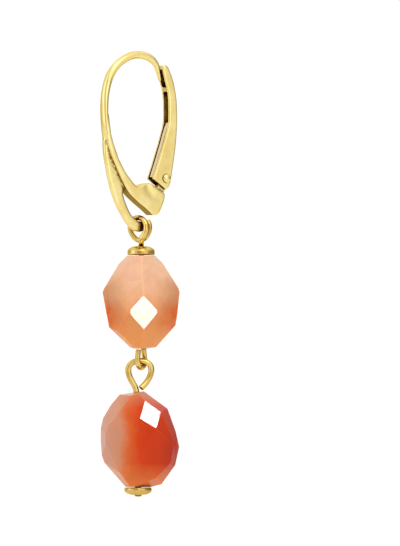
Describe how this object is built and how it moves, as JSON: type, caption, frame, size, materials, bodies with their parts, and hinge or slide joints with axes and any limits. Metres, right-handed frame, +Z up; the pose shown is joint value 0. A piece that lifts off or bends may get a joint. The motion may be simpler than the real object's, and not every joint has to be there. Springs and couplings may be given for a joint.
{
  "type": "drop earring",
  "caption": "Leverback drop earring: gold hook with hinged lever, faceted peach stone bead over a faceted orange stone bead on looped wire pins with domed caps.",
  "frame": {"origin": "inside top of the hook's arch, in the hook's middle plane, where the ear lobe bears", "axes": "+Z up along the hanging earring, +X from the front bar towards the lever at the back, Y across the hook's thickness"},
  "size_m": [0.0088, 0.0077, 0.0464],
  "materials": {
    "pale_gold": "polished pale yellow gold plate",
    "spring_gold": "drawn spring strip, gold plated",
    "warm_gold": "polished gold plate",
    "peach_stone": "polished faceted stone, slightly translucent, peach",
    "orange_stone": "polished faceted stone, slightly translucent, orange red with a pinkish side"
  },
  "bodies": {
    "hook": {"ear_hook": "pale_gold", "hinge_rivet": "pale_gold"},
    "lever": {"lever": "pale_gold", "spring_leaf": "spring_gold"},
    "upper_drop": {"upper_pin": "warm_gold", "upper_cap": "warm_gold", "upper_bead": "peach_stone"},
    "lower_drop": {"lower_pin": "warm_gold", "lower_bead": "orange_stone", "lower_cap": "warm_gold"}
  },
  "joints": [
    {"name": "lever_hinge", "type": "hinge", "parent": "hook", "child": "lever", "pos_m": [0.00302, 0, -0.01243], "axis": [0, 1, 0], "range_deg": [0, 65]},
    {"name": "upper_drop_swing", "type": "hinge", "parent": "hook", "child": "upper_drop", "pos_m": [0.00037, 0, -0.01745], "axis": [1, 0, 0], "range_deg": [-40, 40]},
    {"name": "lower_drop_swing", "type": "hinge", "parent": "upper_drop", "child": "lower_drop", "pos_m": [0.00037, 0, -0.03213], "axis": [0.7986, 0.6018, 0], "range_deg": [-35, 35]}
  ]
}
